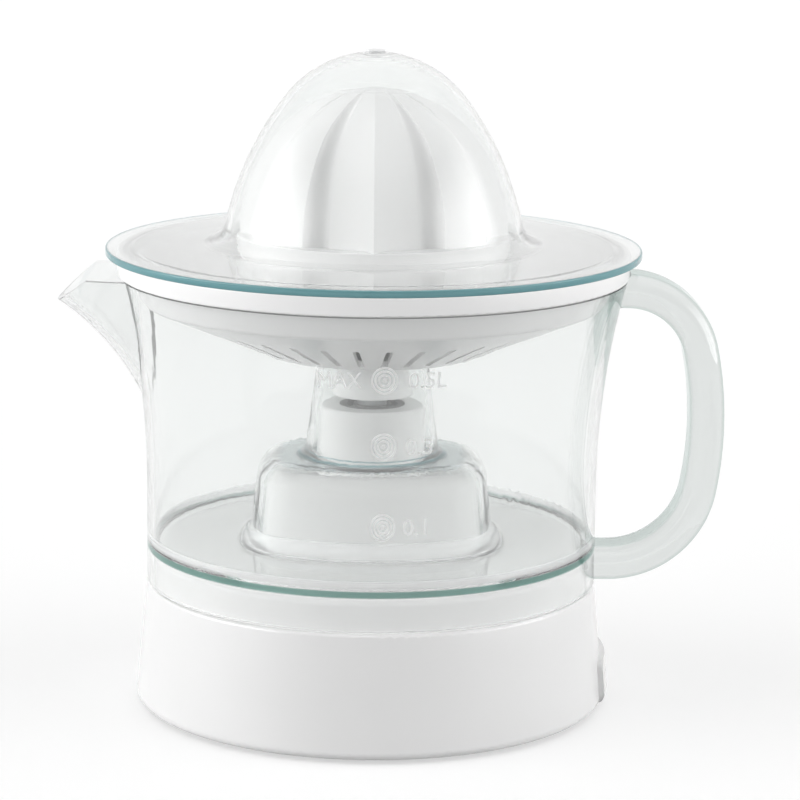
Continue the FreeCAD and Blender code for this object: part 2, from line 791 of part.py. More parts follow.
def spring_path(radius, bottom, top, turns):
    # Helix drawn as two tangent arcs for every quarter turn.
    steps = turns * 4
    rise = (top - bottom) / steps
    slope = rise / (radius * pi / 2)

    def at(i):
        a = pi / 2 * i
        return V(radius * cos(a), radius * sin(a), bottom + rise * i), V(-sin(a), cos(a), slope).normalize()

    def arc(start, knee, end):
        turn = pi - (start - knee).getAngle(end - knee)
        centre = (start + end) / 2
        middle = centre + (knee - centre) * (tan(turn / 4) / tan(turn / 2))
        return Part.Arc(start, middle, end).toShape()

    edges = []
    for i in range(steps):
        p0, t0 = at(i)
        p1, t1 = at(i + 1)
        span = p1 - p0
        a = 2 * t0.dot(t1) - 2
        b = -2 * span.dot(t0 + t1)
        c = span.dot(span)
        d = (-b - sqrt(b * b - 4 * a * c)) / (2 * a)
        knee0 = p0 + t0 * d
        knee1 = p1 - t1 * d
        joint = (knee0 + knee1) / 2
        edges.append(arc(p0, knee0, joint))
        edges.append(arc(joint, knee1, p1))
    return Part.Wire(edges), at(0)


def return_spring():
    top = spring_bottom + spring_length
    path, (start, heading) = spring_path(spring_radius, spring_bottom, top, spring_turns)
    ring = Part.Wire(Part.makeCircle(spring_wire, start, heading))
    save("return_spring", path.makePipeShell([ring], True, False))


# Motor

def motor():
    outer_y = leg_inner + leg_width
    outline = [
        (shoe_end, shoe_slot),
        (shoe_start, shoe_slot),
        (shoe_start, leg_inner),
        (yoke_start, leg_inner),
        (yoke_start, -leg_inner),
        (shoe_start, -leg_inner),
        (shoe_start, -shoe_slot),
        (shoe_end, -shoe_slot),
        (shoe_end, -outer_y + core_chamfer),
        (shoe_end + core_chamfer, -outer_y),
        (yoke_end - core_chamfer, -outer_y),
        (yoke_end, -outer_y + core_chamfer),
        (yoke_end, outer_y - core_chamfer),
        (yoke_end - core_chamfer, outer_y),
        (shoe_end + core_chamfer, outer_y),
        (shoe_end, outer_y - core_chamfer),
    ]
    core = rounded_face(outline, lambda u, v: V(u, v, stack_bottom)).extrude(UP * stack_height)
    holes = [through(stator_screw_radius, stack_bottom, stack_top, p) for p in stator_places]
    holes.append(through(magnet_radius + air_gap, stack_bottom, stack_top, rotor_at))
    save("stator_core", core.cut(holes))

    coil_start = shoe_start + shoe_gap
    coil_end = yoke_start - yoke_gap
    leg_mid = leg_inner + leg_width / 2
    stack_mid = stack_bottom + stack_height / 2

    def sleeve(grow, x0, x1, corner=0.0):
        half_y = leg_width / 2 + grow
        half_z = stack_height / 2 + grow
        block = box(x0, x1, leg_mid - half_y, leg_mid + half_y, stack_mid - half_z, stack_mid + half_z)
        along = [e for e in block.Edges if e.BoundBox.XLength > (x1 - x0) / 2]
        return block.makeFillet(corner, along) if corner else block

    full = bobbin_play + bobbin_wall + winding_build
    core_play = sleeve(bobbin_play, coil_start - over, coil_end + over)
    spool = sleeve(bobbin_play + bobbin_wall, coil_start, coil_end)
    rims = [sleeve(full, x, x + bobbin_rim, bobbin_round) for x in (coil_start, coil_end - bobbin_rim)]
    bobbin = spool.fuse(rims).cut(core_play).removeSplitter()
    winding = sleeve(full - winding_inset, coil_start + bobbin_rim, coil_end - bobbin_rim, winding_round)
    winding = winding.cut(spool)
    save("coil_bobbins", bobbin, mirrored_y(bobbin))
    save("coil_windings", winding, mirrored_y(winding))

    save("rotor_magnet", tube(magnet_radius, rotor_shaft_radius, stack_bottom - magnet_proud,
                              stack_top + magnet_proud, rotor_at))
    save("rotor_shaft", disc(rotor_shaft_radius, wheel_bottom - pinion_below - rotor_shaft_proud,
                             bridge_top + rotor_bush_proud + rotor_shaft_proud, rotor_at))


def motor_fixings():
    sides = stator_places[:2]
    half = stator_screw_y + spacer_radius
    bridge = box(stator_screw_x - spacer_radius, rotor_at.x + rotor_bush_radius + bridge_edge, -half, half,
                 bridge_bottom, bridge_top)
    bridge = bridge.makeFillet(bridge_round, upright_edges(bridge))
    bridge = bridge.fuse([disc(spacer_radius, stack_top, bridge_bottom, p) for p in sides])
    holes = [through(stator_screw_radius, stack_top, bridge_top, p) for p in sides]
    holes.append(through(rotor_bush_radius, bridge_bottom, bridge_top, rotor_at))
    save("rotor_bridge", bridge.cut(holes).removeSplitter())
    heads = [bridge_top, bridge_top, stack_top]
    save("stator_screws", *[screw(p, z, z - plate_height, stator_screw_radius, False)
                            for p, z in zip(stator_places, heads)])
    save("stator_spacers", *[tube(spacer_radius, stator_screw_radius, plate_top, stack_bottom, p)
                             for p in stator_places])


# Press switch

def press_switch():
    high = cover_top + switch_tall
    far = switch_start + switch_long
    block = bar(switch_start, far, switch_wide, cover_top, high)
    block = block.makeFillet(switch_round, upright_edges(block))
    at = switch_start + button_at
    half = button_size / 2
    button_top = high + press_travel + press_room
    well = bar(at - half - button_gap, at + half + button_gap, button_size + 2 * button_gap,
               high - button_depth - press_travel - press_room, high + over)
    save("switch_body", turned_to(block.cut(well), switch_angle))
    levels = [cover_top + tag_low, cover_top + tag_low + tag_pitch]
    save("switch_tags", *[turned_to(bar(far, far + tag_length, tag_width, z, z + tag_thick), switch_angle)
                          for z in levels])
    button = bar(at - half, at + half, button_size, high - button_depth, button_top)
    save("switch_button", turned_to(button, switch_angle))

    riser = switch_start - arm_gap
    cup = disc(plunger_radius, plunger_under, plunger_rest)
    stem = disc(stem_radius, cover_top + press_travel + press_room, plunger_under)
    arm = bar(0, riser, arm_width, plunger_under, plunger_rest)
    upright = bar(riser - arm_thick, riser, arm_width, plunger_under, button_top + arm_thick)
    finger = bar(riser - arm_thick, at + button_size, arm_width, button_top, button_top + arm_thick)
    lever = cup.fuse([arm, upright, finger, stem]).removeSplitter()
    save("press_plunger", turned_to(lever, switch_angle))


# Jug

def flare_arc(inset, top):
    # Middle and end point of the wall's flare, concentric for every inset.
    rise = rim - flare_start
    bend = (rise * rise + jug_flare * jug_flare) / (2 * jug_flare)
    centre = skirt_radius + bend
    radius = bend + inset

    def at(z):
        return centre - sqrt(radius * radius - (z - flare_start) ** 2)

    middle = (flare_start + top) / 2
    return at(middle), middle, at(top), top


def spout_tube(inset):
    # Bent round tube whose keel passes through the root and tip points.
    root = V(spout_root_x, 0, rim - spout_root_drop)
    tip = V(spout_tip_x, 0, rim - spout_tip_drop)
    chord = tip - root
    keel_bend = (chord.Length ** 2 / 4 + spout_sag ** 2) / (2 * spout_sag)
    below = V(-chord.z, 0, chord.x).normalize()
    centre = (root + tip) / 2 + below * (keel_bend - spout_sag)
    bend = keel_bend + spout_radius
    hub = centre + V(bend, 0, 0)
    ring = Part.Face(Part.Wire(Part.makeCircle(spout_radius - inset, hub, V(0, 0, 1))))
    return ring.revolve(centre, V(0, -1, 0), spout_sweep)


def spout_lip(raise_by):
    # Everything below the level lip and its sloping end.
    tip_z = rim - spout_tip_drop
    slope = spout_tip_drop / (spout_level_x - spout_tip_x)
    near = spout_root_x + spout_radius
    far = spout_tip_x - spout_radius
    face = path_face((near, rim + raise_by), [
        (spout_level_x, rim + raise_by),
        (far, tip_z - slope * spout_radius + raise_by),
        (far, floor_top),
        (near, floor_top),
    ])
    keep = face.extrude(V(0, 6 * spout_radius, 0))
    keep.translate(V(0, -3 * spout_radius, 0))
    return keep


def chimney_radius(z, inset=0.0):
    return chimney_foot_radius - chimney_taper * (z - tunnel_top) - inset


def jug():
    outer = spun(path_face((0, skirt_bottom), [
        (skirt_radius, skirt_bottom),
        (skirt_radius, flare_start),
        flare_arc(0, rim),
        (0, rim),
    ]))
    inner_radius = skirt_radius - jug_wall
    room = spun(path_face((0, floor_top), [
        (inner_radius, floor_top),
        (inner_radius, flare_start),
        flare_arc(jug_wall, rim + over),
        (0, rim + over),
    ]))
    room = room.makeFillet(jug_floor_round, edges_at(room, floor_top))
    beak = spout_tube(0).common(spout_lip(0))
    throat = spout_tube(jug_wall).common(spout_lip(jug_depth))
    body = outer.fuse(beak).cut([room, throat])
    tunnel = tower_form(tunnel_gap + tunnel_wall, floor_top - over, tunnel_top, tower_round + tunnel_wall)
    root = tunnel_top - over
    chimney = cone(chimney_radius(root), chimney_radius(chimney_top), root, chimney_top)
    chimney = chimney.makeFillet(chimney_round, edges_at(chimney, chimney_top))
    core = tunnel.fuse(chimney).removeSplitter()
    foot = edges_at(core, tunnel_top, chimney_foot_radius - over, chimney_foot_radius + over)
    core = core.makeFillet(chimney_fillet, foot)
    body = body.fuse(core).removeSplitter()
    corner = edges_at(body, floor_top, chimney_foot_radius, inner_radius - jug_floor_round - over)
    body = body.makeFillet(tunnel_foot_fillet, corner)
    skirt_room = disc(inner_radius, skirt_bottom - over, floor_under)
    sleeve = tower_form(tunnel_gap, floor_under - over, tunnel_top - tunnel_wall, tower_round + tunnel_gap)
    low = tunnel_top - tunnel_wall - over
    high = chimney_top + over
    bore = cone(chimney_radius(low, jug_wall), chimney_radius(high, jug_wall), low, high)
    save("jug", body.cut([skirt_room, sleeve, bore]).removeSplitter())
    return outer


def handle(jug_outer):
    top = rim - handle_top_drop
    low = skirt_bottom + handle_low_rise
    bow_x = handle_reach - handle_bow
    bow_z = skirt_bottom + handle_bow_height
    bow_centre = V(bow_x, 0, bow_z)

    def bend(level, radius, way):
        z = level - way * radius
        x = bow_x + sqrt((handle_bow - radius) ** 2 - (z - bow_z) ** 2)
        centre = V(x, 0, z)
        meet = bow_centre + (centre - bow_centre).normalize() * handle_bow
        flat = V(x, 0, level)
        middle = centre + ((flat - centre) + (meet - centre)).normalize() * radius
        return flat, middle, meet

    flat_top, mid_top, meet_top = bend(top, handle_top_bend, 1)
    flat_low, mid_low, meet_low = bend(low, handle_low_bend, -1)
    start = V(skirt_radius - handle_thick, 0, top)
    end = V(start.x, 0, low)
    path = Part.Wire([
        Part.LineSegment(start, flat_top).toShape(),
        Part.Arc(flat_top, mid_top, meet_top).toShape(),
        Part.Arc(meet_top, V(handle_reach, 0, bow_z), meet_low).toShape(),
        Part.Arc(meet_low, mid_low, flat_low).toShape(),
        Part.LineSegment(flat_low, end).toShape(),
    ])
    half_w = handle_width / 2
    half_t = handle_thick / 2
    bar = rounded_face([
        (-half_w, -half_t, handle_round),
        (half_w, -half_t, handle_round),
        (half_w, half_t, handle_round),
        (-half_w, half_t, handle_round),
    ], lambda u, v: V(start.x, u, top + v))
    sweep = path.makePipeShell([bar.OuterWire], True, False)
    seat = disc(rim_radius + strainer_overhang + seat_gap, rim, rim + handle_thick)
    save("jug_handle", sweep.cut([jug_outer, seat]).Solids[0])


# Strainer, reamer and lid

def strainer():
    band = rim_radius + strainer_overhang
    wall = strainer_wall
    plug = rim_radius - jug_wall - strainer_plug_gap
    neck_z = rim - strainer_neck
    neck = plug - strainer_neck_in
    top = strainer_seat + strainer_band
    bowl = spun(rounded_face([
        (strainer_hub_radius - wall, strainer_bottom),
        (strainer_floor_radius, strainer_bottom, bowl_round),
        (neck, neck_z, bowl_round),
        (plug, strainer_seat),
        (band, strainer_seat, band_round),
        (band, top, band_round),
        (band - wall, top, band_round),
        (band - wall - band_draft, strainer_seat + wall, seat_round),
        (plug - wall, strainer_seat + wall, seat_round),
        (neck - wall * 0.9, neck_z + wall * 0.9, bowl_round),
        (strainer_floor_radius, strainer_bottom + wall, bowl_round),
        (strainer_hub_radius, strainer_bottom + wall, hub_round),
        (strainer_hub_radius, hub_top, band_round),
        (strainer_hub_radius - wall, hub_top, band_round),
    ]))
    slot = bar(slot_start, slot_end, slot_width, strainer_bottom - over, rim)
    slot = slot.makeFillet(slot_width / 2 - full_round_margin, upright_edges(slot))
    slots = [turned_to(slot, 360.0 * (i + 0.5) / slot_count) for i in range(slot_count)]
    save("strainer", bowl.cut(slots).removeSplitter())


def bowed(a, b, bow):
    # Arc from a to b whose middle stands off the line between them, away from the axis.
    middle = (a + b) / 2
    return Part.Arc(a, middle + V(middle.x, middle.y, 0).normalize() * bow, b).toShape()


def star(radius, height, lobe):
    # One level of the cone: sharp ribs with hollow faces, round flutes, and lobes of the given height.
    pitch = 2 * pi / reamer_ribs
    foot_radius = radius * (1 - rib_drop)
    edge_radius = radius * (1 - rib_drop + (rib_drop - lobe_drop) * lobe)

    def at(r, angle):
        return V(r * cos(angle), r * sin(angle), height)

    edges = []
    for i in range(reamer_ribs):
        crest = -pi / 2 + i * pitch
        middle = crest + pitch / 2
        points = [
            at(radius, crest),
            at(foot_radius, crest + radians(rib_half_angle)),
            at(edge_radius, middle - radians(lobe_half_angle)),
            at(edge_radius, middle + radians(lobe_half_angle)),
            at(foot_radius, crest + pitch - radians(rib_half_angle)),
            at(radius, crest + pitch),
        ]
        face = -radius * rib_hollow
        flute = -radius * flute_depth
        crown = edge_radius * (1 - cos(radians(lobe_half_angle))) + radius * lobe_bow * lobe
        bows = [face, flute, crown, flute, face]
        edges += [bowed(a, b, bow) for a, b, bow in zip(points, points[1:], bows)]
    return Part.Wire(edges)


def reamer():
    rise = reamer_tip - ring_top
    levels = []
    for i in range(reamer_levels):
        share = i / reamer_levels
        angle = pi / 2 * share
        sunk = min(1.0, max(0.0, (share - lobe_full) / (lobe_end - lobe_full)))
        lobe = (1 + cos(pi * sunk)) / 2
        levels.append(star(reamer_radius * cos(angle), ring_top + rise * sin(angle), lobe))
    levels.append(star(reamer_point, reamer_tip, 0))
    ribs = Part.makeLoft(levels, True, False)
    ring_radius = reamer_radius + reamer_ring_proud
    ring = disc(ring_radius, reamer_bottom, ring_top)
    ring = ring.makeFillet(reamer_ring_proud, edges_at(ring, ring_top))
    flute = reamer_radius * (1 - rib_drop - flute_depth)

    def hollow_at(angle):
        return ((flute - reamer_wall) * cos(radians(angle)),
                ring_top + (rise - reamer_wall) * sin(radians(angle)))

    hollow = [
        disc(ring_radius - reamer_wall, reamer_bottom - over, ring_top - reamer_wall),
        spun(path_face((0, ring_top - reamer_wall), [
            (hollow_at(0)[0], ring_top - reamer_wall),
            hollow_at(0),
            hollow_at(30) + hollow_at(60),
            (0, hollow_at(60)[1]),
        ])),
    ]
    shell = ribs.fuse(ring).cut(hollow)
    ceiling = shaft_top + seat_gap
    stem = disc(socket_radius, hex_start + socket_start, hollow_at(60)[1] + reamer_wall / 2)
    web = bar(0, ring_radius - reamer_wall / 2, web_thick, ring_top - reamer_wall - web_drop, ring_top)
    webs = [turned_to(web, 360.0 * i / web_count + 180.0 / reamer_ribs) for i in range(web_count)]
    corner = (hex_flats / 2 + socket_gap) / cos(pi / 6)
    low = hex_start + socket_start - over
    socket = hexagon_face(corner, low).extrude(UP * (ceiling - low))
    save("reamer", shell.fuse([stem] + webs).cut(socket).removeSplitter())


def dome_path(inset):
    # Crown and side of the dome, from the apex down to the flange: arc points for one inset.
    crown = V(0, 0, crown_top - dome_crown)
    drop = sqrt((dome_side - dome_crown) ** 2 - (dome_side - dome_radius) ** 2)
    side = V(dome_radius - dome_side, 0, crown.z - drop)
    away = (crown - side).normalize()
    knee = crown + away * (dome_crown - inset)
    lean = acos(away.x)
    crown_mid = crown + V(cos((lean + pi / 2) / 2), 0, sin((lean + pi / 2) / 2)) * (dome_crown - inset)

    def on_side(z):
        return V(side.x + sqrt((dome_side - inset) ** 2 - (z - side.z) ** 2), 0, z)

    return crown_mid, knee, on_side


def lid():
    flange = rim_radius + lid_overhang
    top_mid, top_knee, top_side = dome_path(0)
    low_mid, low_knee, low_side = dome_path(lid_wall)
    root = top_side(lid_top_edge + lid_rise)
    foot = low_side(lid_seat + lid_rise)
    waist = top_side((root.z + top_knee.z) / 2)
    low_waist = low_side((foot.z + low_knee.z) / 2)
    cover = spun(path_face((0, crown_top), [
        (top_mid.x, top_mid.z, top_knee.x, top_knee.z),
        (waist.x, waist.z, root.x, root.z),
        (flange, lid_top_edge),
        (flange, lid_seat),
        (foot.x, foot.z),
        (low_waist.x, low_waist.z, low_knee.x, low_knee.z),
        (low_mid.x, low_mid.z, 0, crown_top - lid_wall),
    ]))
    cover = cover.makeFillet(dome_fillet, edges_at(cover, root.z, root.x - over, root.x + over))
    cover = cover.makeFillet(dome_fillet + lid_wall, edges_at(cover, foot.z, foot.x - over, foot.x + over))
    rim_edges = edges_at(cover, lid_top_edge) + edges_at(cover, lid_seat)
    cover = cover.makeFillet(lid_edge / 4, rim_edges)
    ring = rim_radius + strainer_overhang - strainer_wall - band_draft - lid_ring_gap
    skirt = tube(ring, ring - lid_wall, lid_seat - lid_ring_depth, lid_seat + lid_edge / 2)
    gate = disc(gate_radius, crown_top - lid_wall / 2, crown_top + gate_height)
    save("lid", cover.fuse([skirt, gate]).removeSplitter())


os.makedirs("parts", exist_ok=True)
base_housing()
bottom_cover()
rubber_feet()
gear_train()
gear_plate()
bushes()
drive_shaft()
return_spring()
motor()
motor_fixings()
press_switch()
handle(jug())
strainer()
reamer()
lid()
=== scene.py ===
import bpy
import bmesh
import json
import math
from mathutils import Matrix, Vector
from mathutils.bvhtree import BVHTree


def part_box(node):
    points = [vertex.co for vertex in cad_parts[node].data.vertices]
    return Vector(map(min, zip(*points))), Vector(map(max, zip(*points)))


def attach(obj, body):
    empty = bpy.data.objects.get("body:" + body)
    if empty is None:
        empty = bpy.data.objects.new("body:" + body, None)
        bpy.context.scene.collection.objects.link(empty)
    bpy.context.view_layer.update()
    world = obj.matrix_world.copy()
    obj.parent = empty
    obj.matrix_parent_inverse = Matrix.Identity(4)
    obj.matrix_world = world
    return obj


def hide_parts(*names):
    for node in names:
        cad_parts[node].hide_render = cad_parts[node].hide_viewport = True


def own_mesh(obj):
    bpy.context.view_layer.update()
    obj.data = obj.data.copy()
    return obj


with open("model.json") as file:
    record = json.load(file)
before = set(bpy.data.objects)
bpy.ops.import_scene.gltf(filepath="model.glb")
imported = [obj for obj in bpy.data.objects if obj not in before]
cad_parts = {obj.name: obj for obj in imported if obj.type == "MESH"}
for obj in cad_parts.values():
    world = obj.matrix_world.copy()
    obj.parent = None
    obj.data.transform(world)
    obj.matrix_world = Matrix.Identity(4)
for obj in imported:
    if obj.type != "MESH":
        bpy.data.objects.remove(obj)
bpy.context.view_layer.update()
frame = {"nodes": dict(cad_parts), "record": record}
nodes = frame["nodes"]
mm = 0.001
print("frame loaded with", len(nodes), "nodes")


# small helpers for node trees and meshes

patchStops = (0.35, 0.65)  # the noise values at which a surface's low and high colour are reached
weldLook = {"near": 0.0015 * mm, "tiny": 0.0001 * mm}  # nearer points become one, shorter edges go
shadeLook = {"angle": 30, "weight": 60}


def addNode(tree, kind, inputs=None, **settings):
    node = tree.nodes.new(kind)
    for key, value in settings.items():
        setattr(node, key, value)
    for key, value in (inputs or {}).items():
        node.inputs[key].default_value = value
    return node


def newMaterial(name, **sockets):
    material = bpy.data.materials.new(name)
    material.use_nodes = True
    tree = material.node_tree
    shader = tree.nodes["Principled BSDF"]
    for key, value in sockets.items():
        shader.inputs[key.replace("_", " ")].default_value = value
    return material, tree, shader


def grey(value):
    return (value, value, value, 1)


def noiseOn(tree, scale, detail=3.0, stretch=(1, 1, 1)):
    place = addNode(tree, "ShaderNodeTexCoord")
    mapping = addNode(tree, "ShaderNodeMapping", {"Scale": stretch})
    noise = addNode(tree, "ShaderNodeTexNoise", {"Scale": scale, "Detail": detail})
    tree.links.new(place.outputs["Object"], mapping.inputs["Vector"])
    tree.links.new(mapping.outputs["Vector"], noise.inputs["Vector"])
    return noise


def rampColour(tree, shader, noise, low, high):
    ramp = addNode(tree, "ShaderNodeValToRGB")
    for stop, place, colour in zip(ramp.color_ramp.elements, patchStops, (low, high)):
        stop.position = place
        stop.color = (*colour, 1)
    tree.links.new(noise.outputs["Fac"], ramp.inputs["Fac"])
    tree.links.new(ramp.outputs["Color"], shader.inputs["Base Color"])


def rampRoughness(tree, shader, noise, low, high):
    span = addNode(tree, "ShaderNodeMapRange", {"To Min": low, "To Max": high})
    tree.links.new(noise.outputs["Fac"], span.inputs["Value"])
    tree.links.new(span.outputs["Result"], shader.inputs["Roughness"])


def bumpFrom(tree, shader, noise, distance):
    bump = addNode(tree, "ShaderNodeBump", {"Distance": distance})
    tree.links.new(noise.outputs["Fac"], bump.inputs["Height"])
    tree.links.new(bump.outputs["Normal"], shader.inputs["Normal"])


def showObject(name, mesh, material):
    mesh.materials.clear()
    mesh.materials.append(material)
    piece = bpy.data.objects.new(name, mesh)
    bpy.context.scene.collection.objects.link(piece)
    return piece


def smoothFaces(mesh, angle=shadeLook["angle"]):
    mesh.polygons.foreach_set("use_smooth", [True] * len(mesh.polygons))
    mesh.set_sharp_from_angle(angle=math.radians(angle))
    mesh.update()


def evenNormals(piece):
    weighted = piece.modifiers.new("evenNormals", "WEIGHTED_NORMAL")
    weighted.keep_sharp = True
    weighted.weight = shadeLook["weight"]


def mergedCopy(node):
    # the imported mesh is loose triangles, so a copy is joined up before it is shaded smooth
    mesh = nodes[node].data.copy()
    for name in ("custom_normal", "sharp_edge", "sharp_face"):
        if name in mesh.attributes:
            mesh.attributes.remove(mesh.attributes[name])
    work = bmesh.new()
    work.from_mesh(mesh)
    bmesh.ops.remove_doubles(work, verts=work.verts, dist=weldLook["near"])
    bmesh.ops.dissolve_degenerate(work, edges=work.edges, dist=weldLook["tiny"])
    work.to_mesh(mesh)
    work.free()
    return mesh


roundLook = {"passes": 2, "inside": 4.0 * mm, "narrow": math.radians(1.2), "wide": math.radians(8.0)}


def roundOff(mesh, look):
    # a clear wall shows its facets, so these are halved and the new points lifted to their circle
    work = bmesh.new()
    work.from_mesh(mesh)
    radius = work.verts.layers.float.new("radius")
    for turn in range(look["passes"]):
        wide = []
        for vert in work.verts:
            vert[radius] = vert.co.xy.length
        for edge in work.edges:
            one, two = (vert.co.xy for vert in edge.verts)
            outside = min(one.length, two.length) > look["inside"]
            if outside and look["narrow"] < one.angle(two) < look["wide"]:
                wide.append(edge)
        bmesh.ops.subdivide_edges(work, edges=wide, cuts=1, use_grid_fill=True)
        for vert in work.verts:
            have = vert.co.xy.length
            if vert[radius] > have > look["inside"]:
                vert.co.xy *= vert[radius] / have
    work.verts.layers.float.remove(radius)
    bmesh.ops.triangulate(work, faces=[face for face in work.faces if len(face.verts) > 3])
    work.to_mesh(mesh)
    work.free()
    return mesh


def settle(piece, body, slot, *replaced):
    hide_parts(*replaced)
    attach(piece, body)


def dress(node, name, body, slot, angle=shadeLook["angle"], finish=None):
    mesh = mergedCopy(node)
    smoothFaces(mesh, angle)
    piece = showObject(name, mesh, finish or finishes[slot])
    evenNormals(piece)
    settle(piece, body, slot, node)


def evaluatedMesh(piece):
    # the piece's mesh with its modifiers worked in; the piece itself is taken away
    bpy.context.view_layer.update()
    mesh = bpy.data.meshes.new_from_object(piece.evaluated_get(bpy.context.evaluated_depsgraph_get()))
    bpy.data.objects.remove(piece)
    return mesh


def combined(mesh, tools, operation, material):
    # the tools keep clear of each other, so they are cut or joined in one go
    work = bmesh.new()
    for tool in tools:
        work.from_mesh(tool)
    together = bpy.data.meshes.new("tools")
    work.to_mesh(together)
    work.free()
    body = showObject("combining", mesh, material)
    helper = showObject("tools", together, material)
    step = body.modifiers.new("combine", "BOOLEAN")
    step.operation = operation
    step.solver = "MANIFOLD"
    step.object = helper
    result = evaluatedMesh(body)
    bpy.data.objects.remove(helper)
    return result


def repeatTree(name, inputs, build):
    # a node group that puts one small geometry on every point of the mesh it is given
    tree = bpy.data.node_groups.new(name, "GeometryNodeTree")
    tree.is_modifier = True
    tree.interface.new_socket("Points", in_out="INPUT", socket_type="NodeSocketGeometry")
    sockets = {}
    for key in inputs:
        sockets[key] = tree.interface.new_socket(key, in_out="INPUT", socket_type="NodeSocketFloat")
    tree.interface.new_socket("Mesh", in_out="OUTPUT", socket_type="NodeSocketGeometry")
    source = addNode(tree, "NodeGroupInput")
    target = addNode(tree, "NodeGroupOutput")
    place = addNode(tree, "GeometryNodeInstanceOnPoints")
    real = addNode(tree, "GeometryNodeRealizeInstances")
    paint = addNode(tree, "GeometryNodeSetMaterial")
    tree.links.new(source.outputs["Points"], place.inputs["Points"])
    tree.links.new(build(tree, source), place.inputs["Instance"])
    tree.links.new(place.outputs["Instances"], real.inputs["Geometry"])
    tree.links.new(real.outputs["Geometry"], paint.inputs["Geometry"])
    tree.links.new(paint.outputs["Geometry"], target.inputs["Mesh"])
    return tree, sockets, paint


def repeated(name, points, inputs, build, material):
    tree, sockets, paint = repeatTree(name, inputs, build)
    paint.inputs["Material"].default_value = material
    mesh = bpy.data.meshes.new(name)
    mesh.from_pydata(points, [], [])
    piece = showObject(name, mesh, material)
    step = piece.modifiers.new(name, "NODES")
    step.node_group = tree
    for key, value in inputs.items():
        step[sockets[key].identifier] = value
    return evaluatedMesh(piece)


# moulded plastics and rubber: faint patches in colour and gloss, and a fine moulded grain

mouldLook = {"ior": 1.5, "coatRough": 0.08, "grainDetail": 2.0}
plasticLooks = {
    "white_gloss": {
        "low": (0.81, 0.81, 0.81), "high": (0.85, 0.85, 0.85), "patch": 9.0, "grain": 1400.0,
        "depth": 0.0001 * mm, "rough": (0.225, 0.24), "coat": 0.15},
    # the strainer's white is set lighter than the base's: painted light, standing in for light that shines
    # through its thin walls
    "strainer_white": {
        "low": (0.88, 0.88, 0.88), "high": (0.91, 0.91, 0.91), "patch": 9.0, "grain": 1400.0,
        "depth": 0.0001 * mm, "rough": (0.225, 0.24), "coat": 0.15},
    "white_matte": {
        "low": (0.72, 0.72, 0.71), "high": (0.77, 0.77, 0.76), "patch": 12.0, "grain": 2200.0,
        "depth": 0.03 * mm, "rough": (0.45, 0.58), "coat": 0.0},
    "gear_plastic": {
        "low": (0.72, 0.69, 0.60), "high": (0.78, 0.75, 0.66), "patch": 40.0, "grain": 1800.0,
        "depth": 0.01 * mm, "rough": (0.34, 0.46), "coat": 0.0},
    "black_plastic": {
        "low": (0.012, 0.012, 0.013), "high": (0.022, 0.022, 0.024), "patch": 60.0, "grain": 2600.0,
        "depth": 0.03 * mm, "rough": (0.42, 0.56), "coat": 0.0},
    "red_plastic": {
        "low": (0.36, 0.012, 0.010), "high": (0.46, 0.020, 0.014), "patch": 80.0, "grain": 2400.0,
        "depth": 0.01 * mm, "rough": (0.30, 0.40), "coat": 0.0},
    "rubber": {
        "low": (0.13, 0.13, 0.13), "high": (0.20, 0.20, 0.20), "patch": 70.0, "grain": 3000.0,
        "depth": 0.06 * mm, "rough": (0.75, 0.90), "coat": 0.0},
}


def makePlastic(name, look):
    material, tree, shader = newMaterial(name, IOR=mouldLook["ior"], Coat_Weight=look["coat"],
                                         Coat_Roughness=mouldLook["coatRough"])
    patches = noiseOn(tree, look["patch"])
    rampColour(tree, shader, patches, look["low"], look["high"])
    rampRoughness(tree, shader, patches, *look["rough"])
    bumpFrom(tree, shader, noiseOn(tree, look["grain"], mouldLook["grainDetail"]), look["depth"])
    return material


# metals: drawn or turned lines, sheets of the core and turns of the wire as stripes of a given pitch

stripeLook = {"patch": 160.0, "patchDetail": 4.0, "gloss": 900.0, "glossDetail": 2.0, "stretch": (1, 1, 6),
              "waver": 0.4, "waverScale": 3.0, "period": math.pi / 10}  # the wave node's period at scale 1
metalLooks = {
    "zinc_steel": {
        "low": (0.50, 0.51, 0.53), "high": (0.64, 0.65, 0.66), "rough": (0.24, 0.40), "axis": "Z",
        "pitch": 0.4 * mm, "depth": 0.01 * mm},
    "bush_bronze": {
        "low": (0.44, 0.27, 0.12), "high": (0.56, 0.36, 0.17), "rough": (0.36, 0.50), "axis": "Z",
        "pitch": 0.6 * mm, "depth": 0.01 * mm},
    "core_steel": {
        "low": (0.16, 0.165, 0.18), "high": (0.27, 0.275, 0.29), "rough": (0.34, 0.52), "axis": "Z",
        "pitch": 0.5 * mm, "depth": 0.12 * mm},
    "copper": {
        "low": (0.36, 0.13, 0.05), "high": (0.56, 0.24, 0.10), "rough": (0.20, 0.34), "axis": "X",
        "pitch": 0.45 * mm, "depth": 0.20 * mm},
}


def makeMetal(name, look):
    material, tree, shader = newMaterial(name, Metallic=1.0)
    patches = noiseOn(tree, stripeLook["patch"], stripeLook["patchDetail"])
    gloss = noiseOn(tree, stripeLook["gloss"], stripeLook["glossDetail"], stripeLook["stretch"])
    rampColour(tree, shader, patches, look["low"], look["high"])
    rampRoughness(tree, shader, gloss, *look["rough"])
    place = addNode(tree, "ShaderNodeTexCoord")
    stripes = addNode(tree, "ShaderNodeTexWave", {
        "Scale": stripeLook["period"] / look["pitch"], "Distortion": stripeLook["waver"],
        "Detail Scale": stripeLook["waverScale"]}, bands_direction=look["axis"])
    tree.links.new(place.outputs["Object"], stripes.inputs["Vector"])
    bumpFrom(tree, shader, stripes, look["depth"])
    return material
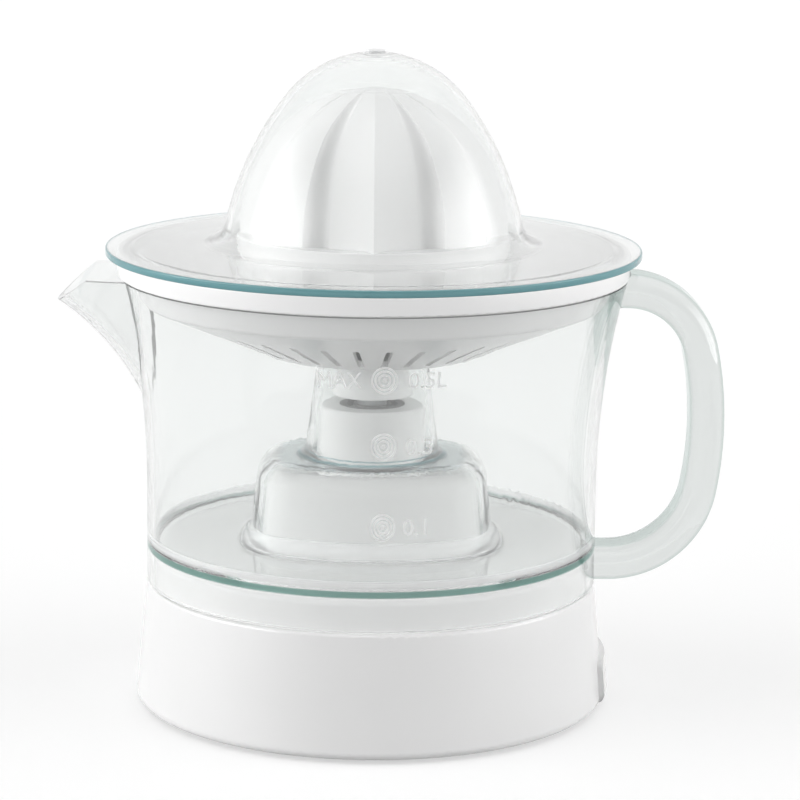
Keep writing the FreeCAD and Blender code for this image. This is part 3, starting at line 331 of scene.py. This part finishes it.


# clear plastic of jug, handle and lid: thin walls look colourless; the dark green and teal lines at a plate's
# edge are painted on as edge shade

clearLook = {"tint": (0.945, 0.957, 0.952, 1), "ior": 1.45, "rough": 0.015, "clarity": 0.96,
             "wave": 55.0, "waveDetail": 1.0, "waveDepth": 0.002 * mm, "through": grey(1)}
lidFinish = dict(clearLook, rough=0.05)
frostFinish = dict(clearLook, rough=0.40, clarity=0.25)
# the handle's bar: a darker tint, and a darker green at its edges that is painted edge shade
barFinish = dict(clearLook, tint=(0.76, 0.785, 0.775, 1), edgeShade=(0.20, 0.33, 0.29, 1), start=0.35, full=0.9)
# bands across an edge: from and to in mm, colour and clarity, by height on the jug and by radius on the lid;
# the green and teal bands are painted edge shade in the plastic's own tint, the pale bands are painted light
# where the clear plastic renders dark
edgeLook = {"green": (0.17, 0.33, 0.29, 1), "teal": (0.14, 0.36, 0.39, 1), "haze": (0.93, 0.94, 0.94, 1),
            "soft": 0.4}
wallBands = {"along": (0, 0, 1), "bands": ((44.0, 46.2, "green", 0.25), (46.3, 48.6, "haze", 0.55))}
tunnelBands = {"along": (0, 0, 1), "bands": ((46.3, 50.4, "haze", 0.55), (69.4, 70.3, "teal", 0.60))}
rimBands = {"along": (1, 1, 0), "bands": ((-0.4, 3.4, "haze", 0.45), (72.1, 73.6, "teal", 0.25))}


def bandRamp(tree, span, bands, plain, insides):
    # the plain value all along, with each band's own value between its ends
    start, end, soft = bands[0][0], bands[-1][1], edgeLook["soft"]
    ramp = addNode(tree, "ShaderNodeValToRGB")
    for stop in ramp.color_ramp.elements:
        stop.color = plain
    for band, inside in zip(bands, insides):
        low, high = band[:2]
        stops = ((low, plain), (low + soft, inside), (high - soft, inside), (high, plain))
        for stop, colour in stops:
            if start < stop < end:
                ramp.color_ramp.elements.new((stop - start) / (end - start)).color = colour
    tree.links.new(span.outputs["Result"], ramp.inputs["Fac"])
    return ramp.outputs["Color"]


def addBands(tree, shader, look, lines):
    bands = lines["bands"]
    place = addNode(tree, "ShaderNodeTexCoord")
    along = addNode(tree, "ShaderNodeVectorMath", {1: lines["along"]}, operation="MULTIPLY")
    size = addNode(tree, "ShaderNodeVectorMath", operation="LENGTH")
    start, end = bands[0][0], bands[-1][1]
    span = addNode(tree, "ShaderNodeMapRange", {"From Min": start * mm, "From Max": end * mm})
    tree.links.new(place.outputs["Object"], along.inputs[0])
    tree.links.new(along.outputs["Vector"], size.inputs[0])
    tree.links.new(size.outputs["Value"], span.inputs["Value"])
    tints = [edgeLook[colour] for low, high, colour, clarity in bands]
    clarities = [grey(clarity) for low, high, colour, clarity in bands]
    tint = bandRamp(tree, span, bands, look["tint"], tints)
    clear = bandRamp(tree, span, bands, grey(look["clarity"]), clarities)
    # the band colours go into the base colour: green and teal painted edge shade, and pale painted light
    tree.links.new(tint, shader.inputs["Base Color"])
    tree.links.new(clear, shader.inputs["Transmission Weight"])


def addEdgeShade(tree, shader, look):
    # painted edge shade: a thick bar's colour turns darker green where it is seen edge-on, standing in for
    # the dark edges that refraction gives, in the plastic's own green
    layer = addNode(tree, "ShaderNodeLayerWeight")
    ramp = addNode(tree, "ShaderNodeValToRGB")
    for stop, place, colour in zip(ramp.color_ramp.elements, ("start", "full"), ("tint", "edgeShade")):
        stop.position = look[place]
        stop.color = look[colour]
    tree.links.new(layer.outputs["Facing"], ramp.inputs["Fac"])
    tree.links.new(ramp.outputs["Color"], shader.inputs["Base Color"])


def makeClear(name, look, lines=None):
    material, tree, shader = newMaterial(name, IOR=look["ior"], Roughness=look["rough"],
                                         Transmission_Weight=look["clarity"], Base_Color=look["tint"])
    # painted edge shade and painted light: bands by place, or a darker green where a bar is seen edge-on
    if lines:
        addBands(tree, shader, look, lines)
    elif "edgeShade" in look:
        addEdgeShade(tree, shader, look)
    bumpFrom(tree, shader, noiseOn(tree, look["wave"], look["waveDetail"]), look["waveDepth"])
    # light on its way to the matt pieces inside goes straight through the walls
    path = addNode(tree, "ShaderNodeLightPath")
    through = addNode(tree, "ShaderNodeBsdfTransparent", {"Color": look["through"]})
    last = shader
    for kind in ("Is Shadow Ray", "Is Diffuse Ray"):
        either = addNode(tree, "ShaderNodeMixShader")
        tree.links.new(path.outputs[kind], either.inputs[0])
        tree.links.new(last.outputs[0], either.inputs[1])
        tree.links.new(through.outputs[0], either.inputs[2])
        last = either
    tree.links.new(last.outputs[0], tree.nodes["Material Output"].inputs["Surface"])
    return material


finishes = {slot: makePlastic(slot, look) for slot, look in plasticLooks.items()}
finishes.update({slot: makeMetal(slot, look) for slot, look in metalLooks.items()})
finishes["clear_plastic"] = makeClear("clear_plastic", clearLook)
jugClear = makeClear("clear_jug", clearLook, wallBands)
tunnelClear = makeClear("clear_tunnel", clearLook, tunnelBands)
lidClear = makeClear("clear_lid", lidFinish, rimBands)
barClear = makeClear("clear_bar", barFinish)
markFrost = makeClear("frosted_marks", frostFinish)
for part in frame["record"]["subparts"]:
    slots = nodes[part["node"]].data.materials
    slots.clear()
    slots.append(finishes[part["material_slot"]])
print("materials made")

# the white shells keep their CAD form; the reamer's ribs need a lower angle to stay sharp

reamerAngle = 24
dress("base_housing", "baseShell", "base", "white_gloss")
# the strainer takes the lighter white, painted light for light through its thin walls
dress("strainer", "strainerBowl", "strainer", "white_gloss", finish=finishes["strainer_white"])
dress("reamer", "reamerCone", "reamer", "white_gloss", reamerAngle)
dress("splash_collar", "shaftCollar", "drive", "white_gloss")
print("shells dressed")

# the lid is turned afresh from its own section, in finer steps

lidLook = {"cut": math.radians(0.5), "steps": 180, "bend": math.radians(25), "thin": 0.00001 * mm}


def lidSection(mesh, look):
    # points from the axis at the top round the flange and back to the axis, as distance and height
    ahead = Vector((math.cos(look["cut"]), math.sin(look["cut"]), 0))
    aside = Vector((-ahead.y, ahead.x, 0))
    work = bmesh.new()
    work.from_mesh(mesh)
    everything = work.verts[:] + work.edges[:] + work.faces[:]
    bmesh.ops.bisect_plane(work, geom=everything, dist=look["thin"], plane_co=(0, 0, 0), plane_no=aside,
                           clear_inner=True, clear_outer=True)
    bmesh.ops.remove_doubles(work, verts=work.verts, dist=weldLook["tiny"])
    work.verts.ensure_lookup_table()
    path, before, here = [], None, work.verts[0]
    while not path or here != work.verts[0]:
        path.append(Vector((here.co.dot(ahead), here.co.z)))
        sides = [edge.other_vert(here) for edge in here.link_edges]
        before, here = here, next(vert for vert in sides if vert != before)
    work.free()
    # the cut runs all round, so a point goes in where it crosses the axis and one half is kept
    closed = []
    for one, two in zip(path, path[1:] + path[:1]):
        closed.append(one)
        if one.x * two.x < 0:
            closed.append(Vector((0, one.y + (two.y - one.y) * one.x / (one.x - two.x))))
    after = closed[1:] + closed[:1]
    start = next(i for i, spot in enumerate(closed) if spot.x == 0 and after[i].x > 0)
    closed = closed[start:] + closed[:start]
    end = next(i for i, spot in enumerate(closed) if i and spot.x == 0)
    return closed[:end + 1]


def easedSection(points, look):
    # round stretches get a point in the middle of each step, on the arc: it stands off the chord by an eighth
    # of the chord times the arc's turn, which is the mean of the bends at both ends
    eased = []
    for i, (one, two) in enumerate(zip(points, points[1:])):
        eased.append(one)
        if 0 < i < len(points) - 2:
            chord = two - one
            first = chord.angle_signed(one - points[i - 1])
            second = (points[i + 2] - two).angle_signed(chord)
            if first * second > 0 and max(abs(first), abs(second)) < look["bend"]:
                turn = (first + second) / 2
                eased.append((one + two) / 2 + Vector((chord.y, -chord.x)) * turn / 8)
    return eased + points[-1:]


def makeLid(look):
    outline = easedSection(lidSection(mergedCopy("lid"), look), look)
    count, steps = len(outline), look["steps"]
    spots = []
    faces = []
    for i in range(steps):
        turn = 2 * math.pi * i / steps
        spots += [(spot.x * math.cos(turn), spot.x * math.sin(turn), spot.y) for spot in outline]
        here, there = i * count, (i + 1) % steps * count
        faces += [(here + j, here + j + 1, there + j + 1, there + j) for j in range(count - 1)]
    mesh = bpy.data.meshes.new("lid")
    mesh.from_pydata(spots, [], faces)
    work = bmesh.new()
    work.from_mesh(mesh)
    bmesh.ops.remove_doubles(work, verts=work.verts, dist=weldLook["tiny"])
    bmesh.ops.recalc_face_normals(work, faces=work.faces)
    work.to_mesh(mesh)
    work.free()
    smoothFaces(mesh)
    piece = showObject("domeLid", mesh, lidClear)
    evenNormals(piece)
    settle(piece, "lid", "clear_plastic", "lid")
    return count


print("lid turned from", makeLid(lidLook), "points")

# the return spring inside the post, joined up and shaded smooth

springLook = {"angle": 60, "joint": "press_down"}


def makeSpring(look):
    mesh = mergedCopy("return_spring")
    smoothFaces(mesh, look["angle"])
    piece = showObject("returnSpring", mesh, finishes["zinc_steel"])
    settle(piece, "base", "zinc_steel", "return_spring")
    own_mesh(piece)


makeSpring(springLook)

# cover screws with cross recesses, seen from below

screwLook = {"slotLong": 3.4 * mm, "slotWide": 0.9 * mm, "slotDeep": 1.6 * mm}


def islandCentres(mesh):
    work = bmesh.new()
    work.from_mesh(mesh)
    done = set()
    centres = []
    for start in work.verts:
        if start in done:
            continue
        found = [start]
        done.add(start)
        for vert in found:
            fresh = [edge.other_vert(vert) for edge in vert.link_edges if edge.other_vert(vert) not in done]
            done.update(fresh)
            found.extend(fresh)
        across = [[vert.co[i] for vert in found] for i in range(2)]
        centres.append([(min(line) + max(line)) / 2 for line in across])
    work.free()
    return centres


def crossShape(tree, source):
    joined = addNode(tree, "GeometryNodeMeshBoolean", operation="UNION", solver="MANIFOLD")
    for order in (("slotLong", "slotWide"), ("slotWide", "slotLong")):
        size = addNode(tree, "ShaderNodeCombineXYZ")
        for axis, key in zip("XYZ", (*order, "slotDeep")):
            tree.links.new(source.outputs[key], size.inputs[axis])
        block = addNode(tree, "GeometryNodeMeshCube")
        tree.links.new(size.outputs["Vector"], block.inputs["Size"])
        tree.links.new(block.outputs["Mesh"], joined.inputs["Mesh 2"])
    return joined.outputs["Mesh"]


screwMesh = mergedCopy("cover_screws")
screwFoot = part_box("cover_screws")[0][2]
crossPoints = [(*centre, screwFoot) for centre in islandCentres(screwMesh)]
crosses = repeated("screwCrosses", crossPoints, screwLook, crossShape, finishes["zinc_steel"])
screwMesh = combined(screwMesh, [crosses], "DIFFERENCE", finishes["zinc_steel"])
smoothFaces(screwMesh)
settle(showObject("coverScrews", screwMesh, finishes["zinc_steel"]), "base", "zinc_steel", "cover_screws")
print("cover screws cut at", len(crossPoints), "places")

# raised litre marks on the jug's front: target rings and figures

markLook = {"turn": math.radians(2.7), "raise": 0.5 * mm, "sink": 0.5 * mm, "front": -45.0 * mm,
            "proud": 0.1 * mm, "outside": 200.0 * mm, "weld": 0.001 * mm, "thick": 0.1, "curveSteps": 4,
            "tall": 4.2 * mm, "rows": (102.5 * mm, 84.7 * mm, 63.2 * mm)}
# row, figure, and its left and right end in mm from the middle of the rings
markWords = ((0, "MAX", -18.0, -6.2), (0, "0.5L", 6.6, 16.9), (1, "0.3", 6.3, 13.8), (2, "0.1", 5.9, 12.6))
ringLook = {"outer": 3.4 * mm, "middle": 2.5 * mm, "inner": 1.5 * mm, "dot": 0.6 * mm, "line": 0.5 * mm}
ringSteps = {"circle": 40, "dot": 16}


def ringShape(tree, source):
    joined = addNode(tree, "GeometryNodeJoinGeometry")
    profile = addNode(tree, "GeometryNodeCurvePrimitiveQuadrilateral")
    tree.links.new(source.outputs["line"], profile.inputs["Width"])
    tree.links.new(source.outputs["line"], profile.inputs["Height"])
    for key in ("outer", "middle", "inner"):
        ring = addNode(tree, "GeometryNodeCurvePrimitiveCircle", {"Resolution": ringSteps["circle"]})
        band = addNode(tree, "GeometryNodeCurveToMesh")
        tree.links.new(source.outputs[key], ring.inputs["Radius"])
        tree.links.new(ring.outputs["Curve"], band.inputs["Curve"])
        tree.links.new(profile.outputs["Curve"], band.inputs["Profile Curve"])
        tree.links.new(band.outputs["Mesh"], joined.inputs["Geometry"])
    dot = addNode(tree, "GeometryNodeMeshCylinder", {"Vertices": ringSteps["dot"]})
    tree.links.new(source.outputs["dot"], dot.inputs["Radius"])
    tree.links.new(source.outputs["line"], dot.inputs["Depth"])
    tree.links.new(dot.outputs["Mesh"], joined.inputs["Geometry"])
    return joined.outputs["Geometry"]


def wordMesh(text, left, right, level, look):
    data = bpy.data.curves.new("figure", "FONT")
    data.body = text
    data.extrude = look["thick"]
    data.resolution_u = look["curveSteps"]
    word = bpy.data.objects.new("figure", data)
    bpy.context.scene.collection.objects.link(word)
    mesh = evaluatedMesh(word)
    spots = [vert.co.copy() for vert in mesh.vertices]
    lowX, highX = min(c.x for c in spots), max(c.x for c in spots)
    lowY, highY = min(c.y for c in spots), max(c.y for c in spots)
    for vert in mesh.vertices:
        vert.co.x = (left + (vert.co.x - lowX) / (highX - lowX) * (right - left)) * mm
        vert.co.y = level + ((vert.co.y - lowY) / (highY - lowY) - 0.5) * look["tall"]
    return mesh


def wrapped(mesh, look, radius, wall):
    # a flat mark goes round the jug: across to angle, up to height, front and back to the wall's outside
    for vert in mesh.vertices:
        angle = look["turn"] + vert.co.x / radius
        out = Vector((math.sin(angle), -math.cos(angle), 0))
        level = Vector((0, 0, vert.co.y))
        hit = wall.ray_cast(out * look["outside"] + level, -out)[0]
        reach = math.hypot(hit.x, hit.y) + (look["raise"] if vert.co.z > 0 else -look["sink"])
        vert.co = out * reach + level
    work = bmesh.new()
    work.from_mesh(mesh)
    bmesh.ops.remove_doubles(work, verts=work.verts, dist=look["weld"])
    bmesh.ops.recalc_face_normals(work, faces=work.faces)
    work.to_mesh(mesh)
    work.free()
    return mesh


# the handle's ends reach a little into the jug's wall, so that both are one clear body

jugLook = {"reach": 1.2 * mm, "near": 1.0 * mm, "tunnel": 40.0 * mm, "handle": 0.2 * mm,
           "outside": 1000.0 * mm}


def wallTree(mesh):
    work = bmesh.new()
    work.from_mesh(mesh)
    tree = BVHTree.FromBMesh(work)
    work.free()
    return tree


def gapTo(wall, spot):
    # find_nearest gives place, normal, face and distance
    return wall.find_nearest(spot)[-1]


def deepenedHandle(look, wall):
    mesh = mergedCopy("jug_handle")
    for vert in mesh.vertices:
        if gapTo(wall, vert.co) < look["near"]:
            vert.co.x -= look["reach"]
    return mesh


def markTools(marks, wall):
    radius = -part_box("jug")[0][1]
    flat = [wordMesh(text, left, right, marks["rows"][row], marks) for row, text, left, right in markWords]
    ringPoints = [(0, level, 0) for level in marks["rows"]]
    flat.append(repeated("gaugeRings", ringPoints, ringLook, ringShape, markFrost))
    return [wrapped(one, marks, radius, wall) for one in flat]


def sortFaces(mesh, look, marks, wall):
    # frost on the marks, bands of their own on the tunnel, and thick plastic on the handle
    order = {}
    for name, material in (("marks", markFrost), ("tunnel", tunnelClear), ("handle", barClear)):
        order[name] = len(mesh.materials)
        mesh.materials.append(material)
    floorLine = wallBands["bands"][0][0] * mm
    side = wall.ray_cast(Vector((look["outside"], 0, floorLine)), Vector((-1, 0, 0)))[0]
    for face in mesh.polygons:
        spot = face.center
        if spot.y < marks["front"] and gapTo(wall, spot) > marks["proud"]:
            face.material_index = order["marks"]
        elif math.hypot(spot.x, spot.y) < look["tunnel"]:
            face.material_index = order["tunnel"]
        elif spot.x > side.x + look["handle"]:
            face.material_index = order["handle"]


def makeJug(look, marks):
    mesh = roundOff(mergedCopy("jug"), roundLook)
    wall = wallTree(mesh)
    mesh = combined(mesh, [deepenedHandle(look, wall)] + markTools(marks, wall), "UNION", jugClear)
    smoothFaces(mesh)
    piece = showObject("pouringJug", mesh, jugClear)
    sortFaces(mesh, look, marks, wall)
    evenNormals(piece)
    settle(piece, "jug", "clear_plastic", "jug", "jug_handle")
    return len(mesh.polygons)


print("jug joined to its handle and marks,", makeJug(jugLook, markLook), "faces")

# stage: pale floor, white surroundings and two large soft side lights

stageLook = {"floorSize": 6.0, "floorColour": grey(0.45), "floorRough": 0.9,
             "floorDrop": 0.05 * mm, "floorLift": 0.56, "fill": 0.07, "white": grey(1),
             "front": 0.22, "frontSpan": (-1.0, -0.3), "top": 0.8, "topSpan": (0.5, 0.8)}
# each side light: its angle round the object in degrees and its strength
lobeLook = {"left": (-76.0, 6.2), "right": (76.0, 4.8), "half": 28.0, "soft": 12.0, "heights": (0.25, 0.65)}


def calc(tree, operation, *values):
    # a Math node on sockets and plain numbers
    node = addNode(tree, "ShaderNodeMath", operation=operation)
    for socket, value in zip(node.inputs, values):
        if isinstance(value, float):
            socket.default_value = value
        else:
            tree.links.new(value, socket)
    return node.outputs[0]


def smoothSpan(tree, value, span, first, last):
    # goes softly from the first to the last number while the value runs over the span
    node = addNode(tree, "ShaderNodeMapRange", {"From Min": span[0], "From Max": span[1], "To Min": first,
                                                "To Max": last}, interpolation_type="SMOOTHSTEP")
    tree.links.new(value, node.inputs["Value"])
    return node.outputs["Result"]


def seenBy(tree, path, *kinds):
    # 1 for the named kinds of ray, unless they come by way of a matt surface
    total = path.outputs[kinds[0]]
    for kind in kinds[1:]:
        total = calc(tree, "MAXIMUM", total, path.outputs[kind])
    direct = calc(tree, "LESS_THAN", path.outputs["Diffuse Depth"], 0.5)
    return calc(tree, "MULTIPLY", total, direct)


def makeFloor(look):
    half = look["floorSize"] / 2
    mesh = bpy.data.meshes.new("floor")
    corners = [(-half, -half, 0), (half, -half, 0), (half, half, 0), (-half, half, 0)]
    mesh.from_pydata(corners, [], [(0, 1, 2, 3)])
    material, tree, shader = newMaterial("paleFloor", Base_Color=look["floorColour"],
                                         Roughness=look["floorRough"], Emission_Color=look["white"])
    path = addNode(tree, "ShaderNodeLightPath")
    seen = seenBy(tree, path, "Is Camera Ray", "Is Glossy Ray", "Is Transmission Ray")
    tree.links.new(calc(tree, "MULTIPLY", seen, look["floorLift"]), shader.inputs["Emission Strength"])
    floor = showObject("floor", mesh, material)
    floor.location.z = -look["floorDrop"]


def sideLight(tree, angle, height, look, centre, strength):
    off = calc(tree, "ABSOLUTE", calc(tree, "SUBTRACT", angle, math.radians(centre)))
    fade = [math.radians(look["half"] - look["soft"]), math.radians(look["half"] + look["soft"])]
    return calc(tree, "MULTIPLY", smoothSpan(tree, off, fade, strength, 0.0), height)


def makeWorld(look, lobes):
    world = bpy.data.worlds.new("studio")
    bpy.context.scene.world = world
    world.use_nodes = True
    tree = world.node_tree
    background = tree.nodes["Background"]
    path = addNode(tree, "ShaderNodeLightPath")
    place = addNode(tree, "ShaderNodeTexCoord")
    split = addNode(tree, "ShaderNodeSeparateXYZ")
    tree.links.new(place.outputs["Generated"], split.inputs["Vector"])
    right, back, up = split.outputs
    angle = calc(tree, "ARCTAN2", right, calc(tree, "MULTIPLY", back, -1.0))
    height = smoothSpan(tree, up, lobes["heights"], 1.0, 0.0)
    sides = [sideLight(tree, angle, height, lobes, *lobes[side]) for side in ("left", "right")]
    above = smoothSpan(tree, up, look["topSpan"], 0.0, look["top"])
    lamps = calc(tree, "ADD", calc(tree, "ADD", *sides), above)
    # matt surfaces get a faint fill, reflections a white room that is darker behind the camera
    room = addNode(tree, "ShaderNodeMix", {"A": look["fill"]})
    tree.links.new(seenBy(tree, path, "Is Glossy Ray"), room.inputs["Factor"])
    tree.links.new(smoothSpan(tree, back, look["frontSpan"], look["front"], 1.0), room.inputs["B"])
    white = addNode(tree, "ShaderNodeMix", {"B": 1.0})
    tree.links.new(seenBy(tree, path, "Is Camera Ray", "Is Transmission Ray"), white.inputs["Factor"])
    tree.links.new(calc(tree, "ADD", room.outputs["Result"], lamps), white.inputs["A"])
    tree.links.new(white.outputs["Result"], background.inputs["Strength"])
    background.inputs["Color"].default_value = look["white"]


makeFloor(stageLook)
makeWorld(stageLook, lobeLook)
print("stage set")

# camera fitted to the photograph, which is 800 by 800 pixels; lengths in metres, angles in radians

cameraFit = {"focalPixels": 3258.35, "pixels": 800, "sensor": 36.0, "place": (0, -0.8757, 0.26525),
             "pitch": 0.2042, "roll": 0.0098, "axisPixel": 372.36}


def makeCamera(fit):
    data = bpy.data.cameras.new("camera")
    data.sensor_width = fit["sensor"]
    data.lens = fit["focalPixels"] / fit["pixels"] * data.sensor_width
    data.shift_x = 0.5 - fit["axisPixel"] / fit["pixels"]
    camera = bpy.data.objects.new("camera", data)
    turn = Matrix.Rotation(math.pi / 2 - fit["pitch"], 4, "X") @ Matrix.Rotation(fit["roll"], 4, "Z")
    camera.matrix_world = Matrix.Translation(fit["place"]) @ turn
    bpy.context.scene.collection.objects.link(camera)
    bpy.context.scene.camera = camera


makeCamera(cameraFit)
bpy.context.scene.view_settings.view_transform = "Standard"

print("done")
